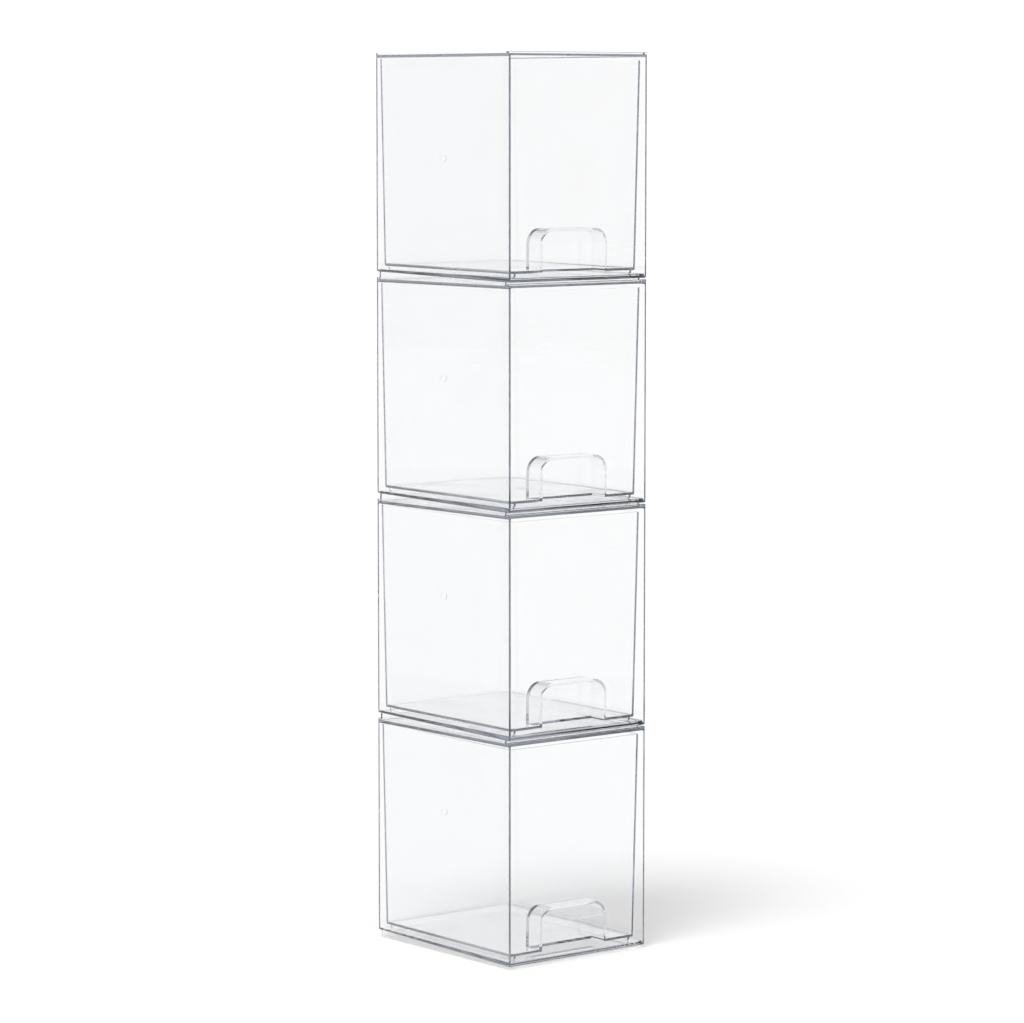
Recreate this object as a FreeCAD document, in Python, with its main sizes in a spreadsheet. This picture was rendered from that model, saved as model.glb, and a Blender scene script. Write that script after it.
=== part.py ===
"""Stack of four clear cosmetics drawers.

Each unit is an open-fronted moulded casing with a pull-out drawer inside it. A unit stands on an inset
plinth, which drops inside the raised rim on top of the casing below. The drawer runs on two skids under
its floor and is pulled by a recessed arch in the bottom of its front, behind a lip for the fingertips.

Frame: origin on the standing surface at the centre of the stack, +X to the right, +Y to the back of the
drawers, +Z up. Millimetres.
"""

import FreeCAD, Part
import os
import Sketcher

UNITS = 4
MERGE = 0.4  # depth by which a feature runs into the solid that it joins, or past one that it cuts

SIZES = {
    # Casing
    "casing_width": 132.0,  # at the open front
    "casing_depth": 160.0,
    "unit_pitch": 168.0,  # from one plinth's underside to the next
    "casing_wall": 1.6,
    "plate_thickness": 1.6,
    "floor_thickness": 2.9,  # at the open front
    "side_taper": 0.8,  # each side is this much further in at the back
    "bottom_rise": 3.2,  # the outside of the bottom climbs this much to the back
    "floor_rise": 1.6,  # the floor that the drawer runs on climbs this much to the back
    "back_corner_radius": 1.6,
    "bottom_edge_radius": 1.2,
    "mouth_edge_radius": 0.5,
    "cavity_edge_radius": 1.0,
    "floor_lip_bevel": 1.5,  # lead-in for the drawer at the front of the floor
    # Stacking rim and plinth
    "rim_height": 1.4,
    "rim_wall": 1.1,
    "rim_front_ledge": 4.7,
    "stack_clearance": 0.3,
    "plinth_height": 2.5,
    "plinth_wall": 1.8,
    "plinth_corner_radius": 2.0,
    # Moulding gate mark on the back
    "gate_height": 90.0,
    "gate_diameter": 6.0,
    "gate_depth": 0.6,
    # Drawer
    "drawer_wall": 1.5,
    "drawer_floor": 1.6,
    "side_play": 2.5,
    "back_play": 0.3,
    "front_recess": 2.1,
    "headroom": 3.0,
    "slide_clearance": 0.1,
    "side_lean": 2.1,  # each drawer wall leans out by its lean from bottom to top
    "front_lean": 1.4,
    "back_lean": 3.5,
    "drawer_corner_radius": 1.6,
    "drawer_bottom_radius": 1.2,
    "drawer_inner_radius": 0.9,
    "skid_height": 2.8,
    "skid_width": 1.8,
    "skid_inset": 3.4,
    "skid_end_radius": 2.4,
    # Finger pull
    "pull_width": 60.5,
    "pull_height": 30.3,
    "pull_depth": 16.5,
    "pull_opening": 20.9,
    "pull_corner_radius": 10.0,
    "pull_wall": 2.0,
}

# Sizes that follow from the driving ones, as expressions on the sheet's cells
FRONT = "(-sizes.casing_depth / 2)"
BACK = "(sizes.casing_depth / 2)"
BACK_WIDTH = "(sizes.casing_width - 2 * sizes.side_taper)"
CAVITY_DEPTH = "(sizes.casing_depth - sizes.casing_wall)"
SLOPE = f"atan(sizes.floor_rise / {CAVITY_DEPTH})"
BOTTOM_BACK = "(sizes.plinth_height + sizes.bottom_rise)"
FLOOR_FRONT = "(sizes.plinth_height + sizes.floor_thickness)"
FLOOR_BACK = f"({FLOOR_FRONT} + sizes.floor_rise)"
PLATE_UNDERSIDE = "(sizes.unit_pitch - sizes.plate_thickness)"
PLINTH_SIDE = "(sizes.rim_wall + sizes.stack_clearance)"
PLINTH_FRONT = "(sizes.rim_front_ledge + sizes.stack_clearance)"
PLINTH_DEPTH = f"(sizes.casing_depth - {PLINTH_FRONT} - {PLINTH_SIDE})"
DRAWER_WIDTH = "(sizes.casing_width - 2 * sizes.casing_wall - 2 * sizes.side_play)"
DRAWER_LENGTH = f"({CAVITY_DEPTH} - sizes.front_recess - sizes.back_play)"
DRAWER_HEIGHT = f"({PLATE_UNDERSIDE} - {FLOOR_FRONT} - sizes.headroom)"
FOOT_WIDTH = f"({DRAWER_WIDTH} - 2 * sizes.side_lean)"
FOOT_LENGTH = f"({DRAWER_LENGTH} - sizes.front_lean - sizes.back_lean)"
FLOOR_TOP = "(sizes.skid_height + sizes.drawer_floor)"
LIP_BACK = "(sizes.front_lean + sizes.drawer_wall)"
DRAWER_SETBACK = f"(sizes.front_recess + {DRAWER_HEIGHT} * sin({SLOPE}))"


def make_sheet(doc):
    """The driving dimensions, one aliased cell each."""
    sheet = doc.addObject("Spreadsheet::Sheet", "sizes")
    for row, (name, value) in enumerate(SIZES.items(), start=1):
        sheet.set(f"A{row}", name)
        sheet.set(f"B{row}", str(value))
        sheet.setAlias(f"B{row}", name)
    doc.recompute()
    return sheet


def origin_plane(body, role):
    """One of the body's own origin planes, such as XY_Plane."""
    return next(item for item in body.Origin.OriginFeatures if item.Role == role)


def new_sketch(body, name, role, shift_y="0", shift_z="0", shift_x="0"):
    """A sketch on one of the body's origin planes, moved in its own plane and along its normal."""
    sketch = body.newObject("Sketcher::SketchObject", name)
    sketch.AttachmentSupport = [(origin_plane(body, role), "")]
    sketch.MapMode = "FlatFace"
    sketch.setExpression("AttachmentOffset.Base.x", shift_x)
    sketch.setExpression("AttachmentOffset.Base.y", shift_y)
    sketch.setExpression("AttachmentOffset.Base.z", shift_z)
    return sketch


def bind(sketch, expression, *constraint):
    """Adds a dimension to a sketch and ties it to the sheet."""
    index = sketch.addConstraint(Sketcher.Constraint(*constraint))
    sketch.setExpression(f"Constraints[{index}]", expression)


def add_quad(sketch, low_width, high_width, length, start=None):
    """A quadrilateral symmetric about the vertical axis, with its low edge 'start' above the origin."""
    half, low, high = 20.0, 1.0 if start else 0.0, 40.0
    vector = FreeCAD.Vector
    corners = [vector(-half, low, 0), vector(half, low, 0), vector(half, high, 0), vector(-half, high, 0)]
    first = sketch.GeometryCount
    for here, there in zip(corners, corners[1:] + corners[:1]):
        sketch.addGeometry(Part.LineSegment(here, there), False)
    bottom, right, top, left = edges = range(first, first + 4)
    for before, after in zip(edges, (right, top, left, bottom)):
        sketch.addConstraint(Sketcher.Constraint("Coincident", before, 2, after, 1))
    sketch.addConstraint(Sketcher.Constraint("Symmetric", bottom, 1, bottom, 2, -2))
    sketch.addConstraint(Sketcher.Constraint("Symmetric", top, 2, top, 1, -2))
    bind(sketch, low_width, "DistanceX", bottom, 1, bottom, 2, 2 * half)
    bind(sketch, high_width, "DistanceX", top, 2, top, 1, 2 * half)
    bind(sketch, length, "DistanceY", bottom, 1, top, 2, high - low)
    if start:
        bind(sketch, start, "DistanceY", -1, 1, bottom, 1, low)
    else:
        sketch.addConstraint(Sketcher.Constraint("PointOnObject", bottom, 1, -1))


def add_circle(sketch, diameter):
    """A circle about the sketch's origin."""
    radius = 2.0
    circle = Part.Circle(FreeCAD.Vector(), FreeCAD.Vector(0, 0, 1), radius)
    index = sketch.addGeometry(circle, False)
    sketch.addConstraint(Sketcher.Constraint("Coincident", index, 3, -1, 1))
    bind(sketch, diameter, "Diameter", index, 2 * radius)


def add_arch(sketch, width, height, radius):
    """A flat-topped arch standing on the horizontal axis: a foot line, two legs, two rounds, a top."""
    half, top, r = 30.0, 35.0, 10.0
    quarter = 1.5707963
    vector, up = FreeCAD.Vector, FreeCAD.Vector(0, 0, 1)
    right_circle = Part.Circle(vector(half - r, top - r, 0), up, r)
    left_circle = Part.Circle(vector(r - half, top - r, 0), up, r)
    outline = [
        Part.LineSegment(vector(-half, 0, 0), vector(half, 0, 0)),
        Part.LineSegment(vector(half, 0, 0), vector(half, top - r, 0)),
        Part.ArcOfCircle(right_circle, 0, quarter),
        Part.LineSegment(vector(half - r, top, 0), vector(r - half, top, 0)),
        Part.ArcOfCircle(left_circle, quarter, 2 * quarter),
        Part.LineSegment(vector(-half, top - r, 0), vector(-half, 0, 0)),
    ]
    sketch.addGeometry(outline, False)
    foot, right, right_round, flat, left_round, left = range(6)
    sketch.addConstraint(
        [
            Sketcher.Constraint("Coincident", foot, 2, right, 1),
            Sketcher.Constraint("Tangent", right, 2, right_round, 1),
            Sketcher.Constraint("Tangent", right_round, 2, flat, 1),
            Sketcher.Constraint("Tangent", flat, 2, left_round, 1),
            Sketcher.Constraint("Tangent", left_round, 2, left, 1),
            Sketcher.Constraint("Coincident", left, 2, foot, 1),
            Sketcher.Constraint("PointOnObject", foot, 1, -1),
            Sketcher.Constraint("Symmetric", foot, 1, foot, 2, -2),
            Sketcher.Constraint("Vertical", right),
            Sketcher.Constraint("Vertical", left),
            Sketcher.Constraint("Horizontal", flat),
            Sketcher.Constraint("Equal", right_round, left_round),
        ]
    )
    bind(sketch, width, "DistanceX", foot, 1, foot, 2, 2 * half)
    bind(sketch, height, "DistanceY", foot, 2, flat, 1, top)
    bind(sketch, radius, "Radius", right_round, r)


def tapered_box(body, kind, name, role, near, far, near_end, far_end):
    """A box that tapers along the second axis of an origin plane: kind is Additive or Subtractive.

    It runs from near to far along that axis. Each of its two ends is given by its width, centred on the
    YZ plane, and by where it starts and stops along the plane's normal.
    """
    wedge = body.newObject(f"PartDesign::{kind}Wedge", name)
    wedge.AttachmentSupport = [(origin_plane(body, role), "")]
    wedge.MapMode = "FlatFace"
    wedge.setExpression("Ymin", near)
    wedge.setExpression("Ymax", far)
    for which, (width, start, stop) in (("", near_end), ("2", far_end)):
        wedge.setExpression(f"X{which}min", f"-({width}) / 2")
        wedge.setExpression(f"X{which}max", f"({width}) / 2")
        wedge.setExpression(f"Z{which}min", start)
        wedge.setExpression(f"Z{which}max", stop)


def extrude(body, kind, name, sketch, length, reverse=False):
    """A Pad or a Pocket. Unless reversed, a Pad follows the sketch's normal and a Pocket opposes it."""
    feature = body.newObject(f"PartDesign::{kind}", name)
    feature.Profile = sketch
    feature.setExpression("Length", length)
    feature.Reversed = reverse
    return feature


def dress_edges(body, kind, dimension, name, size, wanted):
    """Adds a fillet or chamfer to the edges of the body so far whose two ends satisfy wanted(start, end)."""
    body.Document.recompute()
    base = body.Tip
    names = [
        f"Edge{number}"
        for number, edge in enumerate(base.Shape.Edges, start=1)
        if len(edge.Vertexes) == 2 and wanted(edge.Vertexes[0].Point, edge.Vertexes[1].Point)
    ]
    if not names:
        raise RuntimeError(f"{body.Label}: {name} found no edge")
    dressing = body.newObject(kind, name)
    dressing.Base = (base, names)
    dressing.setExpression(dimension, size)
    body.Document.recompute()


def round_edges(body, name, radius, wanted):
    """Rounds the edges that 'wanted' chooses."""
    dress_edges(body, "PartDesign::Fillet", "Radius", name, radius, wanted)


def bevel_edges(body, name, size, wanted):
    """Bevels the edges that 'wanted' chooses, by the same size on both faces."""
    dress_edges(body, "PartDesign::Chamfer", "Size", name, size, wanted)


def along(axis, start, end):
    """Whether an edge runs mainly along one axis: 0 for X, 1 for Y, 2 for Z."""
    spans = [abs(start.x - end.x), abs(start.y - end.y), abs(start.z - end.z)]
    return spans[axis] > 0.9 * sum(spans)


def make_casing(doc, sheet, index):
    """Open-fronted box: tapered walls, a flat top plate with its rim, a climbing floor on a plinth."""
    body = doc.addObject("PartDesign::Body", f"casing_{index + 1}")
    front, back = -sheet.casing_depth / 2, sheet.casing_depth / 2
    rim_top = sheet.unit_pitch + sheet.rim_height

    mouth_end = "sizes.casing_width", "sizes.plinth_height", "sizes.unit_pitch"
    back_end = BACK_WIDTH, BOTTOM_BACK, "sizes.unit_pitch"
    tapered_box(body, "Additive", "box", "XY_Plane", FRONT, BACK, mouth_end, back_end)

    rim = new_sketch(body, "rim_outline", "XY_Plane", FRONT, "sizes.unit_pitch")
    add_quad(rim, "sizes.casing_width", BACK_WIDTH, "sizes.casing_depth")
    rim_front_width = "sizes.casing_width - 2 * sizes.rim_wall"
    rim_depth = "sizes.casing_depth - sizes.rim_front_ledge - sizes.rim_wall"
    add_quad(
        rim, rim_front_width, f"{BACK_WIDTH} - 2 * sizes.rim_wall", rim_depth, start="sizes.rim_front_ledge"
    )
    extrude(body, "Pad", "rim", rim, "sizes.rim_height")

    def stands_in_rim(a, b):
        inside = max(a.y, b.y) < back - MERGE and min(a.y, b.y) > front + MERGE
        return along(2, a, b) and inside and max(a.z, b.z) > rim_top - MERGE

    round_edges(
        body, "rim_corners", "sizes.plinth_corner_radius + sizes.stack_clearance", stands_in_rim
    )
    round_edges(
        body, "back_corners", "sizes.back_corner_radius", lambda a, b: along(2, a, b) and a.y > back - MERGE
    )
    bottom_back = sheet.plinth_height + sheet.bottom_rise
    round_edges(
        body,
        "bottom_rounds",
        "sizes.bottom_edge_radius",
        lambda a, b: max(a.z, b.z) < bottom_back + MERGE and max(a.y, b.y) > front + MERGE,
    )

    def on_front_or_brim(a, b):
        on_front = max(a.y, b.y) < front + MERGE
        return on_front and (along(2, a, b) or min(a.z, b.z) > rim_top - MERGE)

    round_edges(body, "mouth_rounds", "sizes.mouth_edge_radius", on_front_or_brim)

    plinth = new_sketch(body, "plinth_outline", "XY_Plane", f"{FRONT} + {PLINTH_FRONT}")
    front_width = f"(sizes.casing_width - 2 * {PLINTH_SIDE})"
    back_width = f"({BACK_WIDTH} - 2 * {PLINTH_SIDE})"
    both_walls = "2 * sizes.plinth_wall"
    add_quad(plinth, front_width, back_width, PLINTH_DEPTH)
    add_quad(
        plinth,
        f"{front_width} - {both_walls}",
        f"{back_width} - {both_walls}",
        f"{PLINTH_DEPTH} - {both_walls}",
        start="sizes.plinth_wall",
    )
    extrude(body, "Pad", "plinth", plinth, f"{BOTTOM_BACK} + {MERGE}")
    outside = sheet.casing_width / 2 - sheet.side_taper - sheet.rim_wall - sheet.stack_clearance
    outside -= sheet.plinth_wall / 2
    round_edges(
        body,
        "plinth_corners",
        "sizes.plinth_corner_radius",
        lambda a, b: along(2, a, b) and min(a.z, b.z) < MERGE and abs(a.x) > outside,
    )

    both_walls = "2 * sizes.casing_wall"
    cavity_mouth = f"sizes.casing_width - {both_walls}", FLOOR_FRONT, PLATE_UNDERSIDE
    cavity_end = f"{BACK_WIDTH} - {both_walls}", FLOOR_BACK, PLATE_UNDERSIDE
    cavity_back = f"{BACK} - sizes.casing_wall"
    tapered_box(body, "Subtractive", "cavity", "XY_Plane", FRONT, cavity_back, cavity_mouth, cavity_end)

    inner_side = sheet.casing_width / 2 - sheet.casing_wall
    inner_floor = sheet.plinth_height + sheet.floor_thickness
    inner_top = sheet.unit_pitch - sheet.plate_thickness

    def in_cavity(point):
        return abs(point.x) < inner_side + MERGE and inner_floor - MERGE < point.z < inner_top + MERGE

    def on_floor_lip(a, b):
        at_front = max(a.y, b.y) < front + MERGE
        return along(0, a, b) and at_front and abs(a.z - inner_floor) < MERGE

    bevel_edges(body, "floor_lip", "sizes.floor_lip_bevel", on_floor_lip)
    round_edges(
        body,
        "cavity_rounds",
        "sizes.cavity_edge_radius",
        lambda a, b: along(1, a, b) and in_cavity(a) and in_cavity(b),
    )

    gate = new_sketch(body, "gate_mark_outline", "XZ_Plane", "sizes.gate_height", FRONT)
    add_circle(gate, "sizes.gate_diameter")
    extrude(body, "Pocket", "gate_mark", gate, "sizes.gate_depth", reverse=True)
    body.setExpression("Placement.Base.z", f"{index} * sizes.unit_pitch")
    return body


def make_drawer(doc, sheet, index):
    """Tapered bin on two skids, with a recessed arched pull. Its own origin is under its front edge."""
    body = doc.addObject("PartDesign::Body", f"drawer_{index + 1}")
    skid_height = sheet.skid_height
    floor_top = skid_height + sheet.drawer_floor

    foot = FOOT_WIDTH, f"-(sizes.front_lean + {FOOT_LENGTH})", "-sizes.front_lean"
    brim = DRAWER_WIDTH, f"-{DRAWER_LENGTH}", "0"
    tapered_box(body, "Additive", "bin", "XZ_Plane", "sizes.skid_height", DRAWER_HEIGHT, foot, brim)
    round_edges(body, "bin_corners", "sizes.drawer_corner_radius", lambda a, b: along(2, a, b))
    round_edges(
        body, "bin_bottom_rounds", "sizes.drawer_bottom_radius", lambda a, b: max(a.z, b.z) < skid_height + MERGE
    )

    inner_foot, inner_brim = (
        (f"{width} - 2 * sizes.drawer_wall", f"{start} + sizes.drawer_wall", f"{stop} - sizes.drawer_wall")
        for width, start, stop in (foot, brim)
    )
    tapered_box(body, "Subtractive", "hollow", "XZ_Plane", FLOOR_TOP, DRAWER_HEIGHT, inner_foot, inner_brim)
    inner_half = sheet.casing_width / 2 - sheet.casing_wall - sheet.side_play - sheet.drawer_wall + MERGE
    inner_front = sheet.drawer_wall - MERGE

    def in_hollow(point):
        return point.z > floor_top - MERGE and abs(point.x) < inner_half and point.y > inner_front

    def low_in_hollow(a, b):
        return in_hollow(a) and in_hollow(b) and min(a.z, b.z) < floor_top + MERGE

    round_edges(body, "hollow_rounds", "sizes.drawer_inner_radius", low_in_hollow)

    skid_x = f"({FOOT_WIDTH} / 2 - sizes.skid_inset - sizes.skid_width / 2)"
    skid_start = "(sizes.front_lean + sizes.drawer_bottom_radius)"
    for side, sign in (("right", ""), ("left", "-")):
        skid = new_sketch(body, f"{side}_skid_outline", "XY_Plane", skid_start, "0", f"{sign}{skid_x}")
        add_quad(skid, "sizes.skid_width", "sizes.skid_width", f"{FOOT_LENGTH} - 2 * sizes.drawer_bottom_radius")
        extrude(body, "Pad", f"{side}_skid", skid, f"sizes.skid_height + {MERGE}")
    round_edges(
        body, "skid_ends", "sizes.skid_end_radius", lambda a, b: along(0, a, b) and max(a.z, b.z) < MERGE
    )

    add_pull(body)

    body.Placement = FreeCAD.Placement(FreeCAD.Vector(), FreeCAD.Rotation(FreeCAD.Vector(1, 0, 0), 1))
    body.setExpression("Placement.Rotation.Angle", SLOPE)
    body.setExpression("Placement.Base.y", f"{FRONT} + {DRAWER_SETBACK}")
    climb = f"{DRAWER_SETBACK} * tan({SLOPE})"
    body.setExpression(
        "Placement.Base.z", f"{index} * sizes.unit_pitch + {FLOOR_FRONT} + {climb} + sizes.slide_clearance"
    )
    return body


def add_pull(body):
    """A niche under an arch, open to the front below the lip and open underneath through the floor."""
    shell_start = "(sizes.front_lean + sizes.drawer_wall / 2)"
    shell = new_sketch(
        body, "pull_shell_outline", "XZ_Plane", "sizes.skid_height + sizes.drawer_floor / 2", f"-{shell_start}"
    )
    add_arch(
        shell,
        "sizes.pull_width + 2 * sizes.pull_wall",
        "sizes.pull_height + sizes.pull_wall - sizes.drawer_floor / 2",
        "sizes.pull_corner_radius + sizes.pull_wall",
    )
    shell_length = f"sizes.pull_depth + sizes.pull_wall - {shell_start}"
    extrude(body, "Pad", "pull_shell", shell, shell_length, reverse=True)

    niche = new_sketch(body, "pull_niche_outline", "XZ_Plane", f"-{MERGE}", f"-{LIP_BACK}")
    niche_height = f"sizes.skid_height + sizes.pull_height + {MERGE}"
    add_arch(niche, "sizes.pull_width", niche_height, "sizes.pull_corner_radius")
    extrude(body, "Pocket", "pull_niche", niche, f"sizes.pull_depth - {LIP_BACK}")

    opening = new_sketch(body, "pull_opening_outline", "XZ_Plane", f"-{MERGE}", f"-{LIP_BACK}")
    opening_height = f"sizes.skid_height + sizes.pull_opening + {MERGE}"
    add_quad(opening, "sizes.pull_width", "sizes.pull_width", opening_height)
    extrude(body, "Pocket", "pull_opening", opening, f"{LIP_BACK} + {MERGE}", reverse=True)


def check(doc, bodies):
    """Stops on any failed object, and on any sub-part that isn't one valid solid."""
    failed = [item.Name for item in doc.Objects if {"Invalid", "Error"} & set(item.State)]
    if failed:
        raise RuntimeError(f"failed objects: {failed}")
    for body in bodies:
        shape = body.Shape
        if shape.isNull() or not shape.isValid() or len(shape.Solids) != 1:
            raise RuntimeError(f"{body.Label} is not one valid solid")


def main():
    doc = FreeCAD.newDocument("drawer_stack")
    sheet = make_sheet(doc)
    bodies = []
    for index in range(UNITS):
        bodies.append(make_casing(doc, sheet, index))
        bodies.append(make_drawer(doc, sheet, index))
    doc.recompute()
    check(doc, bodies)
    os.makedirs("parts", exist_ok=True)
    for body in bodies:
        body.Shape.exportStep(f"parts/{body.Label}.step")
        box = body.Shape.BoundBox
        print(
            f"{body.Label}: x {box.XMin:.2f}..{box.XMax:.2f}, y {box.YMin:.2f}..{box.YMax:.2f}, "
            f"z {box.ZMin:.2f}..{box.ZMax:.2f}, {body.Shape.Volume / 1000:.1f} cm3"
        )


main()
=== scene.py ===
"""Looks of the clear drawer stack: moulded clear plastic on a white floor, seen from its front left."""

import math

import bpy
from mathutils import Matrix, Vector

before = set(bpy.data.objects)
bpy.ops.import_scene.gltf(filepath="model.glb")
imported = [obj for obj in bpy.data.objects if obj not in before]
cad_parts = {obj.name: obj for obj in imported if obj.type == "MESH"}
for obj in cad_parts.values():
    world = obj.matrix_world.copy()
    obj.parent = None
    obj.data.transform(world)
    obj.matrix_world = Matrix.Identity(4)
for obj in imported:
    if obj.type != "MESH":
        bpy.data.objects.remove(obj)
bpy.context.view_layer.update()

# Camera, in the frame's own metres
PICTURE = (1024, 1023)
FOCAL_PIXELS = 4095.2
SENSOR = 36.0
EYE = Vector((-1.9402, -2.3821, 0.6356))
AZIMUTH = math.radians(39.192)  # from +Y towards +X
TILT = math.radians(5.687)  # downwards
NEAREST_SEEN = 0.05
FARTHEST_SEEN = 60.0

# Light: one broad lamp high to the left of the stack, and a white horizon under a dim ceiling
LAMP_FROM = Vector((-0.927, -0.375, 0.0))
LAMP_HEIGHT = math.radians(70)  # above the horizon
LAMP_SPREAD = math.radians(18)  # sets how soft the shadow is
LAMP_STRENGTH = 2.4
CEILING_STARTS = 0.28  # sine of the height above the horizon
CEILING_FULL = 0.6
CEILING_LEVEL = 0.2
BACKDROP_LEVEL = 1.06  # just over white, so that no noise shows in it
FLOOR_SIZE = 12.0
FLOOR_GREY = 0.42
FLOOR_WHITENESS = 0.568  # added where the floor is seen, so that it is white where it is lit

# Plastic, both mouldings
REFRACTION = 1.49
SURFACE_TINTS = ((0.993, 0.994, 0.996, 1.0), (0.998, 0.998, 0.999, 1.0))
BODY_TINT = (0.47, 0.51, 0.575, 1.0)
CASING_DENSITY = 14.0
DRAWER_DENSITY = 12.0
LIGHT_BOUNCES = 128  # light that runs along inside a wall comes out of its edge
CLOUD_SCALE = 22.0  # patches of tint and haze, about 45 mm across
HAZE_ROUGHNESS = 0.02
HAZE_SHOWS = (0.45, 0.75)
SCRATCH_ROUGHNESS = 0.12
SCRATCH_TURNS = (0.5, -0.9)  # radians, one for each direction of scratches
SCRATCH_STRETCH = (30.0, 2600.0, 900.0)
SCRATCH_SHOWS = (0.68, 0.74)
SCRATCHED_PATCHES = (0.5, 0.62)
SCUFF_ROUGHNESS = 0.35
SCUFF_STRETCH = (1800.0, 60.0, 900.0)
SCUFF_DETAIL = 1.0
SCUFF_SHOWS = (0.48, 0.64)
WAVE_SCALE = 24.0
WAVE_STRETCH = (1.0, 1.0, 0.45)  # longer up the walls, as the plastic flowed
WAVE_HEIGHT = 0.00012

# Places on each unit where wear shows, in metres
UNIT_PITCH = 0.168
SKID_X = 0.0555
SKID_REACH = 0.0016
SKID_SOFTNESS = 0.0004
FLOOR_LOW = 0.0050
FLOOR_HIGH = 0.0074
SKID_HIGH = 0.0066
FOOT_HIGH = 0.0016
FOOT_WEAR = 0.5
HEIGHT_SOFTNESS = 0.0003


class Nodes:
    """A short way to write node trees: each call adds a node, links its inputs and returns an output."""

    def __init__(self, owner):
        owner.use_nodes = True
        self.tree = owner.node_tree
        self.tree.nodes.clear()

    def add(self, kind, values=None, output=0, **settings):
        node = self.tree.nodes.new(kind)
        for name, value in settings.items():
            setattr(node, name, value)
        for socket, value in (values or {}).items():
            self.feed(node.inputs[socket], value)
        return node.outputs[output] if node.outputs else node

    def feed(self, socket, value):
        if isinstance(value, bpy.types.NodeSocket):
            self.tree.links.new(value, socket)
        else:
            socket.default_value = value

    def math(self, operation, first, second=0.0):
        return self.add("ShaderNodeMath", {0: first, 1: second}, operation=operation)

    def largest(self, first, *others):
        for other in others:
            first = self.math("MAXIMUM", first, other)
        return first

    def product(self, first, second):
        return self.math("MULTIPLY", first, second)

    def ray(self, kind):
        return self.add("ShaderNodeLightPath", output=f"Is {kind} Ray")

    def along(self, axis, place):
        return self.add("ShaderNodeSeparateXYZ", {"Vector": place}, output=axis)

    def fade(self, value, start, end, low=0.0, high=1.0):
        sockets = {"Value": value, "From Min": start, "From Max": end, "To Min": low, "To Max": high}
        return self.add("ShaderNodeMapRange", sockets, interpolation_type="SMOOTHSTEP")

    def noise(self, place, scale, detail=0.0):
        return self.add("ShaderNodeTexNoise", {"Vector": place, "Scale": scale, "Detail": detail})

    def stretched(self, place, scale, turn=0.0):
        """The same place with its axes scaled, which draws a noise out into streaks."""
        sockets = {"Vector": place, "Scale": scale, "Rotation": (0.0, 0.0, turn)}
        return self.add("ShaderNodeMapping", sockets)


def make_camera():
    data = bpy.data.cameras.new("camera")
    data.sensor_width = SENSOR
    data.lens = FOCAL_PIXELS * SENSOR / PICTURE[0]
    data.clip_start = NEAREST_SEEN
    data.clip_end = FARTHEST_SEEN
    camera = bpy.data.objects.new("camera", data)
    level = Vector((math.sin(AZIMUTH), math.cos(AZIMUTH), 0.0))
    forward = level * math.cos(TILT) - Vector((0, 0, math.sin(TILT)))
    right = forward.cross(Vector((0, 0, 1))).normalized()
    up = right.cross(forward)
    turned = Matrix((right, up, -forward)).transposed().to_4x4()
    camera.matrix_world = Matrix.Translation(EYE) @ turned
    bpy.context.scene.collection.objects.link(camera)
    bpy.context.scene.camera = camera


def make_world():
    """White to the camera and round the horizon. Dim overhead, which darkens the edges of the plastic."""
    world = bpy.data.worlds.new("studio")
    bpy.context.scene.world = world
    nodes = Nodes(world)
    direction = nodes.add("ShaderNodeTexCoord", output="Generated")
    ceiling = nodes.fade(nodes.along("Z", direction), CEILING_STARTS, CEILING_FULL, 1.0, CEILING_LEVEL)
    backdrop = nodes.product(nodes.ray("Camera"), BACKDROP_LEVEL)
    strength = nodes.largest(backdrop, ceiling)
    light = nodes.add("ShaderNodeBackground", {"Color": (1, 1, 1, 1), "Strength": strength})
    nodes.add("ShaderNodeOutputWorld", {"Surface": light})


def make_lamp():
    data = bpy.data.lights.new("softbox", "SUN")
    data.energy = LAMP_STRENGTH
    data.angle = LAMP_SPREAD
    lamp = bpy.data.objects.new("softbox", data)
    toward_lamp = LAMP_FROM.normalized() * math.cos(LAMP_HEIGHT) + Vector((0, 0, math.sin(LAMP_HEIGHT)))
    lamp.rotation_euler = toward_lamp.to_track_quat("Z", "Y").to_euler()
    bpy.context.scene.collection.objects.link(lamp)


def make_floor():
    """A matt floor that takes the shadow, and is white seen directly, mirrored or through the plastic."""
    bpy.ops.mesh.primitive_plane_add(size=FLOOR_SIZE, location=(0, 0, 0))
    floor = bpy.context.object
    floor.name = "floor"
    material = bpy.data.materials.new("floor")
    nodes = Nodes(material)
    seen = nodes.largest(nodes.ray("Camera"), nodes.ray("Transmission"), nodes.ray("Glossy"))
    matt = nodes.add("ShaderNodeBsdfDiffuse", {"Color": (FLOOR_GREY, FLOOR_GREY, FLOOR_GREY, 1)})
    white = nodes.add("ShaderNodeEmission", {"Strength": nodes.product(seen, FLOOR_WHITENESS)})
    both = nodes.add("ShaderNodeAddShader", {0: matt, 1: white})
    nodes.add("ShaderNodeOutputMaterial", {"Surface": both})
    floor.data.materials.append(material)


def band(nodes, value, low, high, soft):
    """1 between low and high, falling to 0 within 'soft' on either side."""
    above = nodes.fade(value, low - soft, low)
    below = nodes.fade(value, high, high + soft, 1.0, 0.0)
    return nodes.product(above, below)


def hairlines(nodes, place):
    """Fine scratches in two directions, as shelves and cleaning cloths leave."""
    masks = []
    for turn in SCRATCH_TURNS:
        streaks = nodes.noise(nodes.stretched(place, SCRATCH_STRETCH, turn), 1.0)
        masks.append(nodes.fade(streaks, *SCRATCH_SHOWS))
    return nodes.largest(*masks)


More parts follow.
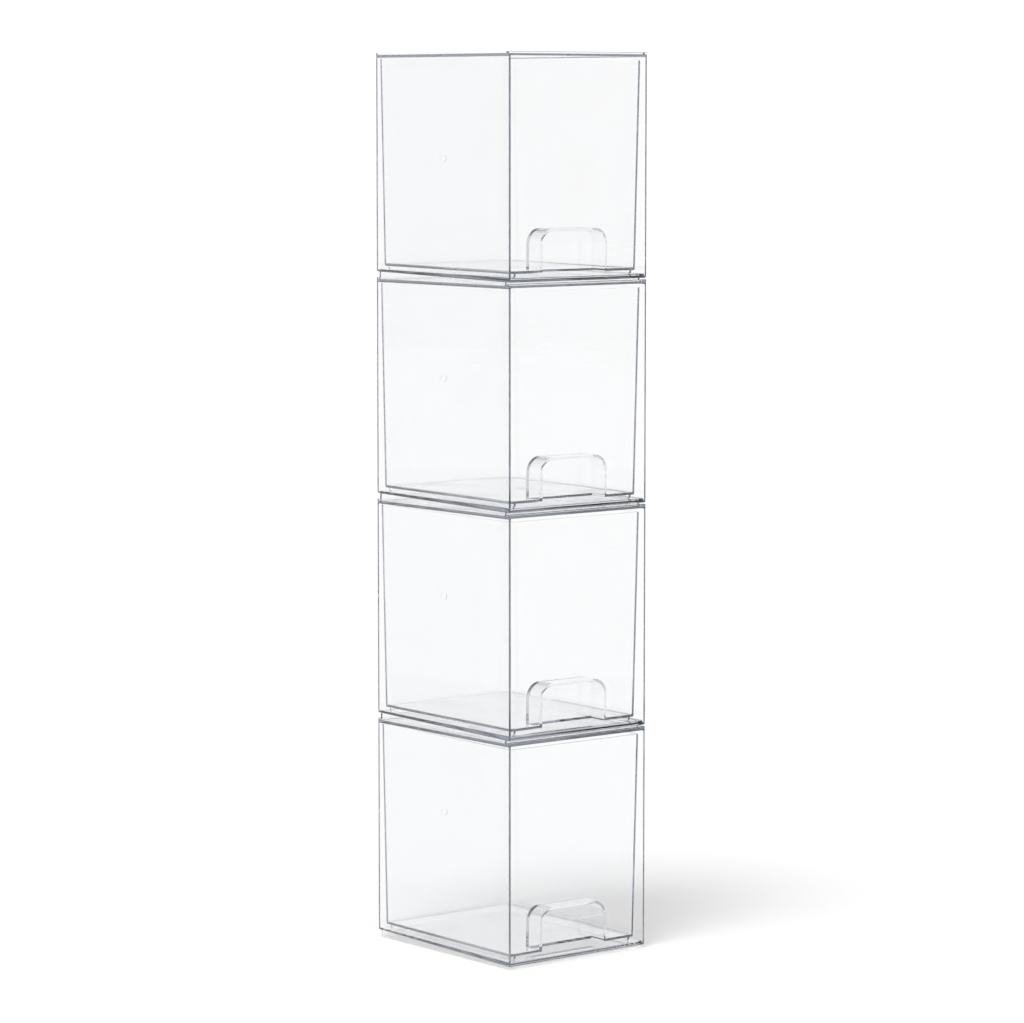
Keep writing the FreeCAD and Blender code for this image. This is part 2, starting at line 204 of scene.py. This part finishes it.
def clear_plastic(name, density, wear):
    """Polished clear plastic whose tint, gloss and flatness vary a little, scuffed where 'wear' says."""
    material = bpy.data.materials.new(name)
    nodes = Nodes(material)
    place = nodes.add("ShaderNodeTexCoord", output="Object")
    cloud = nodes.noise(place, CLOUD_SCALE)
    mixed = {"Factor": cloud, "A": SURFACE_TINTS[0], "B": SURFACE_TINTS[1]}
    tint = nodes.add("ShaderNodeMix", mixed, output="Result", data_type="RGBA")
    haze = nodes.fade(cloud, *HAZE_SHOWS, 0.0, HAZE_ROUGHNESS)
    scratches = nodes.product(hairlines(nodes, place), nodes.fade(cloud, *SCRATCHED_PATCHES))
    scuffs = nodes.product(wear(nodes, place), SCUFF_ROUGHNESS)
    marks = nodes.math("ADD", scuffs, nodes.product(scratches, SCRATCH_ROUGHNESS))
    flow = nodes.noise(nodes.stretched(place, WAVE_STRETCH), WAVE_SCALE)
    waves = nodes.add("ShaderNodeBump", {"Height": flow, "Strength": 1.0, "Distance": WAVE_HEIGHT})
    surface = {
        "Base Color": tint,
        "Roughness": nodes.math("ADD", haze, marks),
        "Normal": waves,
        "Transmission Weight": 1.0,
        "IOR": REFRACTION,
    }
    plastic = nodes.add("ShaderNodeBsdfPrincipled", surface)
    body = nodes.add("ShaderNodeVolumeAbsorption", {"Color": BODY_TINT, "Density": density})
    nodes.add("ShaderNodeOutputMaterial", {"Surface": plastic, "Volume": body})
    return material


def height_in_unit(nodes, place):
    return nodes.math("MODULO", nodes.along("Z", place), UNIT_PITCH)


def skid_track(nodes, place, low, high):
    """1 along the two lines where a drawer's skids run, from 'low' to 'high' in each unit."""
    side = nodes.math("ABSOLUTE", nodes.along("X", place))
    lines = band(nodes, side, SKID_X - SKID_REACH, SKID_X + SKID_REACH, SKID_SOFTNESS)
    layer = band(nodes, height_in_unit(nodes, place), low, high, HEIGHT_SOFTNESS)
    return nodes.product(lines, layer)


def casing_wear(nodes, place):
    """Broken scuffs on the floor under the skids, and on the foot and rim where units stand together."""
    track = skid_track(nodes, place, FLOOR_LOW, FLOOR_HIGH)
    foot = nodes.fade(height_in_unit(nodes, place), 0.0, FOOT_HIGH, FOOT_WEAR, 0.0)
    return nodes.product(nodes.largest(track, foot), broken(nodes, place))


def drawer_wear(nodes, place):
    """Broken scuffs along the undersides of the skids."""
    return nodes.product(skid_track(nodes, place, FLOOR_LOW, SKID_HIGH), broken(nodes, place))


def broken(nodes, place):
    """Short streaks along the way that a drawer slides, with gaps between them."""
    streaks = nodes.noise(nodes.stretched(place, SCUFF_STRETCH), 1.0, SCUFF_DETAIL)
    return nodes.fade(streaks, *SCUFF_SHOWS)


def dress():
    casing = clear_plastic("clear_casing", CASING_DENSITY, casing_wear)
    drawer = clear_plastic("clear_drawer", DRAWER_DENSITY, drawer_wear)
    for name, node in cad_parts.items():
        material = casing if name.startswith("casing") else drawer
        for slot in node.material_slots:
            slot.material = material


def main():
    scene = bpy.context.scene
    scene.view_settings.view_transform = "Standard"
    scene.cycles.max_bounces = LIGHT_BOUNCES
    scene.cycles.transmission_bounces = LIGHT_BOUNCES
    scene.cycles.glossy_bounces = LIGHT_BOUNCES
    make_camera()
    make_world()
    make_lamp()
    make_floor()
    dress()


main()
